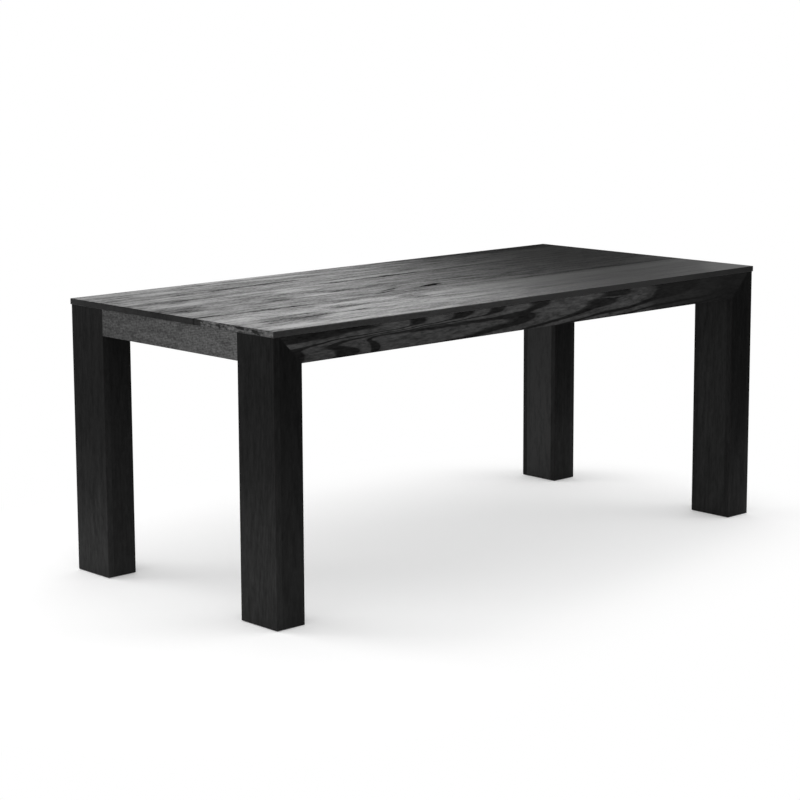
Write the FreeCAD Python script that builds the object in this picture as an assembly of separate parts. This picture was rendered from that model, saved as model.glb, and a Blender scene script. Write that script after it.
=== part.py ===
import FreeCAD, Part
import math
import os

# A parsons dining table in oak. The thin top is three boards glued edge to edge. Each leg is a case
# of four boards round a hollow, and slides up into its corner of the apron frame, where two bolts
# through a diagonal brace hold it. On the long sides the apron is mitred to the leg's face board.
# Millimetres. X runs along the table, Y across it, Z up. The origin is on the floor, at the centre.

V = FreeCAD.Vector

# Overall sizes
TABLE_LENGTH = 1850.0
TABLE_WIDTH = 850.0
TABLE_HEIGHT = 750.0

# Top
TOP_THICKNESS = 16.0
TOP_BOARD_NAMES = ("front", "middle", "back")
TOP_OVERHANG = 2.5  # the top past the outer faces of legs and aprons
TOP_EASING = 1.2  # chamfer on the top's outer arrises
TOP_TONGUE_WIDTH = 20.0  # across the glue joint
TOP_TONGUE_THICKNESS = 4.0
TOP_TONGUE_END = 30.0  # the tongue stops this far short of the board ends

# Legs and aprons, all from one thickness of planed board
BOARD = 18.0
LEG_LENGTH = 90.0  # along X
LEG_WIDTH = 140.0  # along Y
APRON_DEPTH = 72.0
ARRIS = 0.8  # chamfer on the outer arrises of legs and aprons
HEAD_BLOCK_HEIGHT = 140.0
FOOT_BLOCK_HEIGHT = 45.0

# Loose splines in the mitres and loose tongues at the end aprons
SPLINE_THICKNESS = 4.0
SPLINE_REACH = 10.0  # into each side of the mitre
SPLINE_CLEAR = 1.5  # the spline's upper corners to the end board and to the top
TONGUE_THICKNESS = 6.0
TONGUE_REACH = 10.0  # into leg and apron
TONGUE_BOTTOM = 12.0  # above the apron's lower edge
TONGUE_TOP = 4.0  # below the top
JOINT_PLAY = 0.2  # round splines and tongues

# Corner braces
BRACE_THICKNESS = 30.0
BRACE_SEAT = 15.0  # how deep the leg's inner corner is cut off for the brace, along the diagonal
BRACE_DROP = 1.0  # the brace below the top
BRACE_RISE = 11.0  # the brace's lower edge above the apron's
BRACE_SCREW_LENGTH = 26.0
BRACE_SCREW_IN_APRON = 13.0
BRACE_SCREW_EDGE = 12.0  # screws to the brace's upper and lower edges

# Leg bolts
BOLT_RADIUS = 4.0
BOLT_EDGE = 15.0  # bolts to the brace's upper and lower edges
BOLT_SHORT = 1.6  # the bolt's end short of the insert's
BOLT_HEAD_RADIUS = 6.5
BOLT_HEAD_HEIGHT = 8.0
BOLT_SOCKET_RADIUS = 3.5  # to the corners of the hexagon
BOLT_SOCKET_DEPTH = 4.0
BOLT_PLAY = 0.5
WASHER_RADIUS = 8.0
WASHER_THICKNESS = 1.6
INSERT_RADIUS = 6.0
INSERT_LENGTH = 25.0
INSERT_PLAY = 0.3  # round the insert and round the bolt inside it
BORE_SPARE = 1.5  # the bore past the insert's end

# Wood screws
SCREW_RADIUS = 2.0
SCREW_HEAD_RADIUS = 4.0
SCREW_CROWN_RADIUS = 3.0  # the flat crown of the pan head
SCREW_HEAD_HEIGHT = 2.4
SCREW_POINT = 4.0
SCREW_PLAY = 0.2
COUNTERBORE_PLAY = 1.0

CUT_PAST = 1.0  # how far a cut runs on past a face

# Flat sides that stand for a round
SCREW_SIDES = 8
BOLT_SIDES = 10
GLIDE_SIDES = 12

# Cross battens
BATTEN_NAMES = ("left", "middle", "right")
BATTEN_WIDTH = 70.0
BATTEN_THICKNESS = 22.0
BATTEN_END_GAP = 3.0
BATTEN_CHAMFER = 10.0
BATTEN_SCREW_LENGTH = 25.0
BATTEN_SCREW_IN_TOP = 11.0
SLOT_TRAVEL = 6.0  # how far a slotted screw can slide across the grain

# Clips that hold the top down
CLIP_WIDTH = 25.0
CLIP_METAL = 1.6
CLIP_FLANGE = 26.0
CLIP_TONGUE = 8.0  # into the apron
CLIP_STANDOFF = 4.0  # web to apron
CLIP_DROP = 12.0  # top to underside of the clip's tongue
CLIP_SLOT_HEIGHT = 4.0
CLIP_SLOT_SPARE = 0.5  # the slot deeper than the clip's tongue
SLOT_CUTTER_RADIUS = 50.0
CLIP_SCREW_LENGTH = 12.0

# Glides
GLIDE_STAND = 2.0  # floor to leg
GLIDE_RADIUS = 15.0
GLIDE_RECESS = 5.0  # into the foot block
GLIDE_RECESS_PLAY = 0.3
GLIDE_RIM = 1.2  # floor to the cup's rim
GLIDE_FLOOR = 3.0  # floor to the cup's inner face, which is the felt's thickness
FELT_RADIUS = 13.0
FELT_PLAY = 0.3
GLIDE_SCREW_LENGTH = 22.0

# Places that follow from the sizes above, for the corner at -X, -Y
TOP_UNDERSIDE = TABLE_HEIGHT - TOP_THICKNESS
APRON_BOTTOM = TOP_UNDERSIDE - APRON_DEPTH
X_OUT = TOP_OVERHANG - TABLE_LENGTH / 2  # outer end face
Y_OUT = TOP_OVERHANG - TABLE_WIDTH / 2  # outer long face
X_IN = X_OUT + LEG_LENGTH  # the leg's inner end face
Y_IN = Y_OUT + LEG_WIDTH  # the leg's inner side face
X_APRON = X_OUT + BOARD  # inner face of the end apron
Y_APRON = Y_OUT + BOARD  # inner face of the long apron
LEG_TOP = TOP_UNDERSIDE
LEG_BOTTOM = GLIDE_STAND
BRACE_TOP = TOP_UNDERSIDE - BRACE_DROP
BRACE_BOTTOM = APRON_BOTTOM + BRACE_RISE
BOLT_LENGTH = WASHER_THICKNESS + BRACE_THICKNESS + INSERT_LENGTH - BOLT_SHORT
TOP_BOARDS = len(TOP_BOARD_NAMES)
TOP_BOARD_WIDTH = TABLE_WIDTH / TOP_BOARDS

UP = V(0, 0, 1)
INWARD = V(1, 1, 0).normalize()  # from the leg towards the middle of the table

CORNERS = {
    "front_left": (-1, -1),
    "front_right": (1, -1),
    "back_left": (-1, 1),
    "back_right": (1, 1),
}


# Shapes in general

def box(x0, x1, y0, y1, z0, z1):
    return Part.makeBox(x1 - x0, y1 - y0, z1 - z0, V(x0, y0, z0))


def polygon(radius, distance, sides):
    """A regular polygon about Z, with its corners on the circle."""
    angles = [2 * math.pi * k / sides for k in range(sides + 1)]
    return Part.makePolygon([V(radius * math.cos(a), radius * math.sin(a), distance) for a in angles])


def turned(stages, start, direction, sides):
    """Tapered stages of (radius, radius, length), end to end along an axis.

    Fasteners and glides repeat many times, so their rounds have a few flat sides."""
    pieces = []
    distance = 0
    for radius, next_radius, length in stages:
        near_end = polygon(radius, distance, sides)
        distance += length
        far_end = polygon(next_radius, distance, sides) if next_radius else Part.Vertex(0, 0, distance)
        pieces.append(Part.makeLoft([near_end, far_end], True, True))
    solid = pieces[0].multiFuse(pieces[1:]).removeSplitter() if pieces[1:] else pieces[0]
    solid.Placement = FreeCAD.Placement(start, FreeCAD.Rotation(UP, direction))
    return solid


def rod(start, direction, radius, length, sides):
    return turned([(radius, radius, length)], start, direction, sides)


def prism(points, along):
    return Part.Face(Part.makePolygon(points + points[:1])).extrude(along)


def ease(shape, size, keep):
    """Chamfer the edges for whose middle keep(point) is true."""
    edges = [edge for edge in shape.Edges if keep(edge.CenterOfMass)]
    return shape.makeChamfer(size, edges)


def at_corner(shape, side_x, side_y):
    """The copy of a shape from the corner at -X, -Y that stands in another corner."""
    placed = shape.copy()
    if side_x > 0:
        placed = placed.mirror(V(0, 0, 0), V(1, 0, 0))
    if side_y > 0:
        placed = placed.mirror(V(0, 0, 0), V(0, 1, 0))
    return placed


def at_all_corners(shapes):
    return [at_corner(shape, *sides) for sides in CORNERS.values() for shape in shapes]


def near(a, b):
    return abs(a - b) < 0.01


def write(name, shapes):
    solids = [solid for shape in shapes for solid in shape.Solids]
    body = solids[0] if len(solids) == 1 else Part.makeCompound(solids)
    body.exportStep("parts/" + name + ".step")


# Wood screws: each has a pan head, and its hole is the shank with a little play

def wood_screw(seat, direction, length):
    stages = [
        (SCREW_CROWN_RADIUS, SCREW_HEAD_RADIUS, SCREW_HEAD_HEIGHT),
        (SCREW_RADIUS, SCREW_RADIUS, length - SCREW_POINT),
        (SCREW_RADIUS, 0, SCREW_POINT),
    ]
    return turned(stages, seat - direction * SCREW_HEAD_HEIGHT, direction, SCREW_SIDES)


def screw_hole(seat, direction, length):
    return rod(seat, direction, SCREW_RADIUS + SCREW_PLAY, length + SCREW_PLAY, SCREW_SIDES)


def head_hole(seat, direction, depth):
    """The counterbore above a screw's head, from its seat outwards."""
    return rod(seat, direction * -1, SCREW_HEAD_RADIUS + COUNTERBORE_PLAY, depth, SCREW_SIDES)


# Leg: the case of four boards, cut from one envelope with eased arrises

def leg_envelope():
    block = box(X_OUT, X_IN, Y_OUT, Y_IN, LEG_BOTTOM, LEG_TOP)
    return ease(block, ARRIS, lambda point: not near(point.z, LEG_TOP))


MITRE_LOW = V(X_IN, Y_OUT, APRON_BOTTOM)  # the mitre runs from the leg's inner arris ...
MITRE_HIGH = V(X_APRON, Y_OUT, TOP_UNDERSIDE)  # ... to the end board, corner to corner of the face board
MITRE_LENGTH = (MITRE_HIGH - MITRE_LOW).Length
MITRE_ALONG = (MITRE_HIGH - MITRE_LOW).normalize()
MITRE_NORMAL = V(MITRE_ALONG.z, 0, -MITRE_ALONG.x)  # from the leg towards the apron


def beyond_mitre():
    """All that lies on the apron's side of the mitre, as a prism through the board."""
    far = MITRE_NORMAL * TABLE_LENGTH
    start = MITRE_LOW - MITRE_ALONG * TABLE_LENGTH - V(0, CUT_PAST, 0)
    end = MITRE_HIGH + MITRE_ALONG * TABLE_LENGTH - V(0, CUT_PAST, 0)
    return prism([start, end, end + far, start + far], V(0, BOARD + 2 * CUT_PAST, 0))


def mitre_plate(thickness, along_low, along_high, into_leg, into_apron):
    """A plate across the mitre, in the middle of the board. Distances run from the mitre's middle."""
    middle = (MITRE_LOW + MITRE_HIGH) * 0.5 + V(0, (BOARD - thickness) / 2, 0)
    corners = [
        middle + MITRE_ALONG * along_low - MITRE_NORMAL * into_leg,
        middle + MITRE_ALONG * along_high - MITRE_NORMAL * into_leg,
        middle + MITRE_ALONG * along_high + MITRE_NORMAL * into_apron,
        middle + MITRE_ALONG * along_low + MITRE_NORMAL * into_apron,
    ]
    return prism(corners, V(0, thickness, 0))


clear_of_end_board = (SPLINE_CLEAR + SPLINE_REACH * MITRE_NORMAL.x) / MITRE_NORMAL.z
clear_of_top = (SPLINE_CLEAR + SPLINE_REACH * MITRE_NORMAL.z) / MITRE_NORMAL.x
SPLINE_HALF = MITRE_LENGTH / 2 - max(clear_of_end_board, clear_of_top)

mitre_spline = mitre_plate(SPLINE_THICKNESS, -SPLINE_HALF, SPLINE_HALF, SPLINE_REACH, SPLINE_REACH)
spline_slot_in_leg = mitre_plate(
    SPLINE_THICKNESS + 2 * JOINT_PLAY,
    -SPLINE_HALF - JOINT_PLAY,
    SPLINE_HALF + JOINT_PLAY,
    SPLINE_REACH + JOINT_PLAY,
    CUT_PAST,
)
# The apron's slot is longer at its lower end, so that the leg with its spline can slide straight up.
spline_slot_in_apron = mitre_plate(
    SPLINE_THICKNESS + 2 * JOINT_PLAY,
    -SPLINE_HALF - SPLINE_REACH - JOINT_PLAY,
    SPLINE_HALF + JOINT_PLAY,
    CUT_PAST,
    SPLINE_REACH + JOINT_PLAY,
)


def end_tongue(play, top):
    """The loose tongue between leg and end apron, or its groove, which is open at the top."""
    middle = X_OUT + BOARD / 2
    half = TONGUE_THICKNESS / 2 + play
    reach = TONGUE_REACH + play
    bottom = APRON_BOTTOM + TONGUE_BOTTOM - play
    return box(middle - half, middle + half, Y_IN - reach, Y_IN + reach, bottom, top)


# Corner brace, on the diagonal through the leg's inner corner

LEG_CORNER = V(X_IN, Y_IN, 0)


def on_diagonal(distance, z):
    """The point this far inside the leg's inner corner, measured along the diagonal."""
    return LEG_CORNER + INWARD * distance + UP * z


def meets_long_apron(distance):
    """Where a line square to the diagonal, at this distance, meets the long apron's inner face."""
    return V(X_IN + distance * math.sqrt(2) + Y_IN - Y_APRON, Y_APRON, 0)


def meets_end_apron(distance):
    return V(X_APRON, Y_IN + distance * math.sqrt(2) + X_IN - X_APRON, 0)


BRACE_BACK = BRACE_THICKNESS - BRACE_SEAT
BRACE_SCREW_HEIGHTS = (BRACE_BOTTOM + BRACE_SCREW_EDGE, BRACE_TOP - BRACE_SCREW_EDGE)
BOLT_HEIGHTS = (BRACE_BOTTOM + BOLT_EDGE, BRACE_TOP - BOLT_EDGE)
BRACE_SCREW_IN_BRACE = BRACE_SCREW_LENGTH - BRACE_SCREW_IN_APRON


def brace_screw_seats():
    """Seats and directions of the screws through the brace's ends, square to each apron."""
    along_long = (meets_long_apron(-BRACE_SEAT) + meets_long_apron(BRACE_BACK)) * 0.5
    along_end = (meets_end_apron(-BRACE_SEAT) + meets_end_apron(BRACE_BACK)) * 0.5
    seats = []
    for z in BRACE_SCREW_HEIGHTS:
        seats.append((along_long + V(0, BRACE_SCREW_IN_BRACE, z), V(0, -1, 0)))
        seats.append((along_end + V(BRACE_SCREW_IN_BRACE, 0, z), V(-1, 0, 0)))
    return seats


brace_screws = [wood_screw(seat, way, BRACE_SCREW_LENGTH) for seat, way in brace_screw_seats()]
brace_screw_holes = [screw_hole(seat, way, BRACE_SCREW_LENGTH) for seat, way in brace_screw_seats()]


def corner_brace():
    outline = [
        meets_long_apron(-BRACE_SEAT),
        meets_long_apron(BRACE_BACK),
        meets_end_apron(BRACE_BACK),
        meets_end_apron(-BRACE_SEAT),
    ]
    brace = prism([point + UP * BRACE_BOTTOM for point in outline], UP * (BRACE_TOP - BRACE_BOTTOM))
    holes = [head_hole(seat, way, 2 * BRACE_THICKNESS) for seat, way in brace_screw_seats()]
    for z in BOLT_HEIGHTS:
        start = on_diagonal(-BRACE_SEAT - CUT_PAST, z)
        depth = BRACE_THICKNESS + 2 * CUT_PAST
        holes.append(rod(start, INWARD, BOLT_RADIUS + BOLT_PLAY, depth, BOLT_SIDES))
    return brace.cut(holes + brace_screw_holes)


def brace_seat_cut():
    """What is cut off the leg's inner corner, down to just below the brace."""
    reach = BRACE_SEAT * math.sqrt(2) + CUT_PAST
    corner = LEG_CORNER + UP * (BRACE_BOTTOM - BRACE_DROP)
    points = [
        corner + V(-reach, CUT_PAST, 0),
        corner + V(CUT_PAST, -reach, 0),
        corner + V(CUT_PAST, CUT_PAST, 0),
    ]
    return prism(points, UP * (LEG_TOP - BRACE_BOTTOM + BRACE_DROP + CUT_PAST))


# Leg bolts, from inside the frame through the brace into threaded inserts

def leg_bolt(z):
    crown = on_diagonal(BRACE_BACK + WASHER_THICKNESS + BOLT_HEAD_HEIGHT, z)
    stages = [
        (BOLT_HEAD_RADIUS, BOLT_HEAD_RADIUS, BOLT_HEAD_HEIGHT),
        (BOLT_RADIUS, BOLT_RADIUS, BOLT_LENGTH),
    ]
    start = crown + INWARD * CUT_PAST
    socket = rod(start, INWARD * -1, BOLT_SOCKET_RADIUS, BOLT_SOCKET_DEPTH + CUT_PAST, 6)
    return turned(stages, crown, INWARD * -1, BOLT_SIDES).cut(socket)


def bolt_washer(z):
    start = on_diagonal(BRACE_BACK, z)
    depth = WASHER_THICKNESS + 2 * CUT_PAST
    hole = rod(start - INWARD * CUT_PAST, INWARD, BOLT_RADIUS + BOLT_PLAY, depth, BOLT_SIDES)
    return rod(start, INWARD, WASHER_RADIUS, WASHER_THICKNESS, BOLT_SIDES).cut(hole)


def threaded_insert(z):
    start = on_diagonal(-BRACE_SEAT, z)
    bore_start = start + INWARD * CUT_PAST
    depth = INSERT_LENGTH + 2 * CUT_PAST
    bore = rod(bore_start, INWARD * -1, BOLT_RADIUS + INSERT_PLAY, depth, BOLT_SIDES)
    return rod(start, INWARD * -1, INSERT_RADIUS, INSERT_LENGTH, BOLT_SIDES).cut(bore)


def insert_bores():
    """Bores for the inserts, through the leg's cut corner into its head block."""
    starts = [on_diagonal(CUT_PAST - BRACE_SEAT, z) for z in BOLT_HEIGHTS]
    depth = CUT_PAST + INSERT_LENGTH + BORE_SPARE
    return [rod(start, INWARD * -1, INSERT_RADIUS + INSERT_PLAY, depth, BOLT_SIDES) for start in starts]


# Glides, each let into the foot block

GLIDE_CENTRE = V((X_APRON + X_IN - BOARD) / 2, (Y_APRON + Y_IN - BOARD) / 2, 0)
GLIDE_CEILING = LEG_BOTTOM + GLIDE_RECESS
GLIDE_SCREW_SEAT = GLIDE_CENTRE + UP * (GLIDE_FLOOR + SCREW_HEAD_HEIGHT)

glide_screw = wood_screw(GLIDE_SCREW_SEAT, UP, GLIDE_SCREW_LENGTH)
glide_screw_hole = screw_hole(GLIDE_SCREW_SEAT, UP, GLIDE_SCREW_LENGTH)
felt_pad = rod(GLIDE_CENTRE, UP, FELT_RADIUS, GLIDE_FLOOR, GLIDE_SIDES)


def glide_cup():
    rim = GLIDE_CENTRE + UP * GLIDE_RIM
    disc = rod(rim, UP, GLIDE_RADIUS, GLIDE_CEILING - GLIDE_RIM, GLIDE_SIDES)
    felt_seat = rod(GLIDE_CENTRE, UP, FELT_RADIUS + FELT_PLAY, GLIDE_FLOOR, GLIDE_SIDES)
    head_seat = rod(GLIDE_CENTRE, UP, SCREW_HEAD_RADIUS + SCREW_PLAY, GLIDE_SCREW_SEAT.z, SCREW_SIDES)
    return disc.cut([felt_seat, head_seat, glide_screw_hole])


# The leg's pieces

envelope = leg_envelope()
seat_cut = brace_seat_cut()
bores = insert_bores()


def leg_board(x0, x1, y0, y1):
    return box(x0, x1, y0, y1, LEG_BOTTOM, LEG_TOP).common(envelope)


def end_board():
    return leg_board(X_OUT, X_APRON, Y_OUT, Y_IN).cut(end_tongue(JOINT_PLAY, LEG_TOP + CUT_PAST))


def face_board():
    return leg_board(X_APRON, X_IN, Y_OUT, Y_APRON).cut([beyond_mitre(), spline_slot_in_leg])


def inner_end_board():
    return leg_board(X_IN - BOARD, X_IN, Y_APRON, Y_IN - BOARD).cut([seat_cut] + bores)


def inner_side_board():
    return leg_board(X_APRON, X_IN, Y_IN - BOARD, Y_IN).cut([seat_cut] + bores)


def leg_core(bottom, top):
    """What fills the hollow of the leg between two heights."""
    return box(X_APRON, X_IN - BOARD, Y_APRON, Y_IN - BOARD, bottom, top)


def head_block():
    return leg_core(LEG_TOP - HEAD_BLOCK_HEIGHT, LEG_TOP).cut([seat_cut] + bores)


def foot_block():
    block = leg_core(LEG_BOTTOM, LEG_BOTTOM + FOOT_BLOCK_HEIGHT)
    recess = rod(GLIDE_CENTRE, UP, GLIDE_RADIUS + GLIDE_RECESS_PLAY, GLIDE_CEILING, GLIDE_SIDES)
    return block.cut([recess, glide_screw_hole])


# Top: one slab with eased arrises, sawn into its boards

def top_slab():
    half_length = TABLE_LENGTH / 2
    half_width = TABLE_WIDTH / 2
    slab = box(-half_length, half_length, -half_width, half_width, TOP_UNDERSIDE, TABLE_HEIGHT)
    return slab.makeChamfer(TOP_EASING, slab.Edges)


TOP_JOINTS = [-TABLE_WIDTH / 2 + TOP_BOARD_WIDTH * k for k in range(1, TOP_BOARDS)]


def top_tongue(y, play):
    half_length = TABLE_LENGTH / 2 - TOP_TONGUE_END + play
    half_width = TOP_TONGUE_WIDTH / 2 + play
    half_thickness = TOP_TONGUE_THICKNESS / 2 + play
    z = TOP_UNDERSIDE + TOP_THICKNESS / 2
    z0, z1 = z - half_thickness, z + half_thickness
    return box(-half_length, half_length, y - half_width, y + half_width, z0, z1)


# Cross battens, spaced evenly between the corner braces

BRACE_REACH = -meets_long_apron(BRACE_BACK).x
BATTENS = len(BATTEN_NAMES)
BATTEN_PITCH = 2 * BRACE_REACH / BATTENS
BATTEN_PLACES = [BATTEN_PITCH * (k - (BATTENS - 1) / 2) for k in range(BATTENS)]
BATTEN_HALF = -Y_APRON - BATTEN_END_GAP
BATTEN_BOTTOM = TOP_UNDERSIDE - BATTEN_THICKNESS
BATTEN_SCREW_SEAT = TOP_UNDERSIDE + BATTEN_SCREW_IN_TOP - BATTEN_SCREW_LENGTH


def batten_screw_places():
    """Two screws for each board of the top, each with True where its hole is a slot."""
    places = []
    for k in range(TOP_BOARDS):
        middle = -TABLE_WIDTH / 2 + TOP_BOARD_WIDTH * (k + 0.5)
        slotted = not near(middle, 0)
        for side in (-1, 1):
            places.append((middle + side * TOP_BOARD_WIDTH / 4, slotted))
    return places


def slot(x, y, radius, travel, z0, z1):
    """A slot along Y with round ends, or a round hole where travel is 0."""
    if not travel:
        return rod(V(x, y, z0), UP, radius, z1 - z0, SCREW_SIDES)
    y0, y1 = y - travel / 2, y + travel / 2
    ends = [rod(V(x, end, z0), UP, radius, z1 - z0, SCREW_SIDES) for end in (y0, y1)]
    return ends[0].fuse([ends[1], box(x - radius, x + radius, y0, y1, z0, z1)])


def batten(x):
    half = BATTEN_WIDTH / 2
    plank = box(x - half, x + half, -BATTEN_HALF, BATTEN_HALF, BATTEN_BOTTOM, TOP_UNDERSIDE)
    plank = ease(plank, BATTEN_CHAMFER, lambda point: near(point.z, BATTEN_BOTTOM) and near(point.x, x))
    below = BATTEN_BOTTOM - CUT_PAST
    above = TOP_UNDERSIDE + CUT_PAST
    holes = []
    for y, slotted in batten_screw_places():
        travel = SLOT_TRAVEL if slotted else 0
        holes.append(slot(x, y, SCREW_RADIUS + SCREW_PLAY, travel, below, above))
        holes.append(slot(x, y, SCREW_HEAD_RADIUS + COUNTERBORE_PLAY, travel, below, BATTEN_SCREW_SEAT))
    return plank.cut(holes)


batten_seats = [V(x, y, BATTEN_SCREW_SEAT) for x in BATTEN_PLACES for y, slotted in batten_screw_places()]
batten_screws = [wood_screw(seat, UP, BATTEN_SCREW_LENGTH) for seat in batten_seats]


# Clips: along the long aprons in the gaps between battens and braces, and in the middle of the end aprons

def gap_middles():
    edges = [-BRACE_REACH]
    for x in BATTEN_PLACES:
        edges += [x - BATTEN_WIDTH / 2, x + BATTEN_WIDTH / 2]
    edges.append(BRACE_REACH)
    return [(edges[k] + edges[k + 1]) / 2 for k in range(0, len(edges), 2)]


CLIP_PLACES = []  # each a point on an apron's inner face at the top's underside, and the way inwards
for clip_x in gap_middles():
    CLIP_PLACES.append((V(clip_x, Y_APRON, TOP_UNDERSIDE), V(0, 1, 0)))
    CLIP_PLACES.append((V(clip_x, -Y_APRON, TOP_UNDERSIDE), V(0, -1, 0)))
CLIP_PLACES.append((V(X_APRON, 0, TOP_UNDERSIDE), V(1, 0, 0)))
CLIP_PLACES.append((V(-X_APRON, 0, TOP_UNDERSIDE), V(-1, 0, 0)))
CLIP_SCREW_OUT = (CLIP_STANDOFF + CLIP_METAL + CLIP_FLANGE) / 2  # apron to screw


def clip_screw_seat(place, inward):
    return place + inward * CLIP_SCREW_OUT - UP * CLIP_METAL


def z_clip(place, inward):
    profile = [
        (-CLIP_TONGUE, -CLIP_DROP),
        (CLIP_STANDOFF + CLIP_METAL, -CLIP_DROP),
        (CLIP_STANDOFF + CLIP_METAL, -CLIP_METAL),
        (CLIP_FLANGE, -CLIP_METAL),
        (CLIP_FLANGE, 0),
        (CLIP_STANDOFF, 0),
        (CLIP_STANDOFF, CLIP_METAL - CLIP_DROP),
        (-CLIP_TONGUE, CLIP_METAL - CLIP_DROP),
    ]
    along = UP.cross(inward)
    start = place - along * (CLIP_WIDTH / 2)
    strip = prism([start + inward * out + UP * up for out, up in profile], along * CLIP_WIDTH)
    seat = clip_screw_seat(place, inward)
    return strip.cut(screw_hole(seat - UP * CUT_PAST, UP, CLIP_METAL + 2 * CUT_PAST))


def clip_slot(place, inward):
    """The slot that a disc cutter leaves in the apron. The clip's tongue bears on its upper wall."""
    at_clip_corner = math.sqrt(SLOT_CUTTER_RADIUS**2 - (CLIP_WIDTH / 2) ** 2)
    ceiling = place + UP * (CLIP_METAL - CLIP_DROP)
    centre = ceiling + inward * (at_clip_corner - CLIP_TONGUE - CLIP_SLOT_SPARE) - UP * CLIP_SLOT_HEIGHT
    return Part.makeCylinder(SLOT_CUTTER_RADIUS, CLIP_SLOT_HEIGHT, centre)


top_clips = [z_clip(*place) for place in CLIP_PLACES]
clip_slots = [clip_slot(*place) for place in CLIP_PLACES]
clip_screws = [wood_screw(clip_screw_seat(*place), UP, CLIP_SCREW_LENGTH) for place in CLIP_PLACES]


# Aprons

def long_apron():
    board = box(X_APRON, -X_APRON, Y_OUT, Y_APRON, APRON_BOTTOM, TOP_UNDERSIDE)
    board = ease(board, ARRIS, lambda point: near(point.z, APRON_BOTTOM) and near(point.x, 0))
    cuts = [spline_slot_in_apron] + brace_screw_holes
    for side in (-1, 1):
        board = board.common(at_corner(beyond_mitre(), side, -1))
        board = board.cut([at_corner(cut, side, -1) for cut in cuts])
    return board.cut(clip_slots)


def end_apron():
    board = box(X_OUT, X_APRON, Y_IN, -Y_IN, APRON_BOTTOM, TOP_UNDERSIDE)
    board = ease(board, ARRIS, lambda point: near(point.z, APRON_BOTTOM) and near(point.y, 0))
    cuts = [end_tongue(JOINT_PLAY, TOP_UNDERSIDE + CUT_PAST)] + brace_screw_holes
    return board.cut(cuts + [at_corner(cut, -1, 1) for cut in cuts] + clip_slots)


# Write the pieces

os.makedirs("parts", exist_ok=True)

slab = top_slab()
top_cuts = [top_tongue(y, JOINT_PLAY) for y in TOP_JOINTS]
top_cuts += [screw_hole(seat, UP, BATTEN_SCREW_LENGTH) for seat in batten_seats]
top_cuts += [screw_hole(clip_screw_seat(*place), UP, CLIP_SCREW_LENGTH) for place in CLIP_PLACES]
for number, name in enumerate(TOP_BOARD_NAMES):
    front = -TABLE_WIDTH / 2 + TOP_BOARD_WIDTH * number
    sawn = box(-TABLE_LENGTH, TABLE_LENGTH, front, front + TOP_BOARD_WIDTH, TOP_UNDERSIDE, TABLE_HEIGHT)
    write("top_board_" + name, [slab.common(sawn).cut(top_cuts)])
write("top_tongues", [top_tongue(y, 0) for y in TOP_JOINTS])

front_apron = long_apron()
left_apron = end_apron()
write("long_apron_front", [front_apron])
write("long_apron_back", [at_corner(front_apron, -1, 1)])
write("end_apron_left", [left_apron])
write("end_apron_right", [at_corner(left_apron, 1, -1)])
write("mitre_splines", at_all_corners([mitre_spline]))
write("end_apron_tongues", at_all_corners([end_tongue(0, TOP_UNDERSIDE - TONGUE_TOP)]))

LEG_PIECES = {
    "end_board": end_board(),
    "face_board": face_board(),
    "inner_end_board": inner_end_board(),
    "inner_side_board": inner_side_board(),
    "head_block": head_block(),
    "foot_block": foot_block(),
}
brace = corner_brace()
for corner, sides in CORNERS.items():
    for piece, shape in LEG_PIECES.items():
        write("leg_" + corner + "_" + piece, [at_corner(shape, *sides)])
    write("corner_brace_" + corner, [at_corner(brace, *sides)])

for name, x in zip(BATTEN_NAMES, BATTEN_PLACES):
    write("cross_batten_" + name, [batten(x)])

write("leg_bolts", at_all_corners([leg_bolt(z) for z in BOLT_HEIGHTS]))
write("bolt_washers", at_all_corners([bolt_washer(z) for z in BOLT_HEIGHTS]))
write("threaded_inserts", at_all_corners([threaded_insert(z) for z in BOLT_HEIGHTS]))
write("brace_screws", at_all_corners(brace_screws))
write("batten_screws", batten_screws)
write("top_clips", top_clips)
write("clip_screws", clip_screws)
write("glide_cups", at_all_corners([glide_cup()]))
write("glide_screws", at_all_corners([glide_screw]))
write("felt_pads", at_all_corners([felt_pad]))
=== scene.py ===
import bmesh
import bpy
import math
from mathutils import Matrix, Vector


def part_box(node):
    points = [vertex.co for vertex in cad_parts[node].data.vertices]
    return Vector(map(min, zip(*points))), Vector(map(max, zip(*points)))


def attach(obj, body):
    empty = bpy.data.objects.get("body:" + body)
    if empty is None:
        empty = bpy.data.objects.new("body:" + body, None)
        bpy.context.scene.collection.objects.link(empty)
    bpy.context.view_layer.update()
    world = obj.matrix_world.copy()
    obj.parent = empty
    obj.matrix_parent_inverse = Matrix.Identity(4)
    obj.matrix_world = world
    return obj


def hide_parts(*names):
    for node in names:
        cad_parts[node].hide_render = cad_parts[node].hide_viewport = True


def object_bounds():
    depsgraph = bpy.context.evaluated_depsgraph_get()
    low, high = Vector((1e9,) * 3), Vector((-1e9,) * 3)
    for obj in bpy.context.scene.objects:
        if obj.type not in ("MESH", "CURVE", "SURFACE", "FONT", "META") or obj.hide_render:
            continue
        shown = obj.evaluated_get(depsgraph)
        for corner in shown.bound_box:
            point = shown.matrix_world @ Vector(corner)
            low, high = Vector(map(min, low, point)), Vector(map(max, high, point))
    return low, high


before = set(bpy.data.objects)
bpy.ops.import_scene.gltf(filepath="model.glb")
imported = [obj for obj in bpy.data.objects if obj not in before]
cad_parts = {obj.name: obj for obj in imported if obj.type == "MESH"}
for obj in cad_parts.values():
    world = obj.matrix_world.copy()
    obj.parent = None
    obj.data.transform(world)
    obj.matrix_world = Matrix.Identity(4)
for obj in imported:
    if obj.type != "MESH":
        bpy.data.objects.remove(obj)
cad_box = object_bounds()


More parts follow.
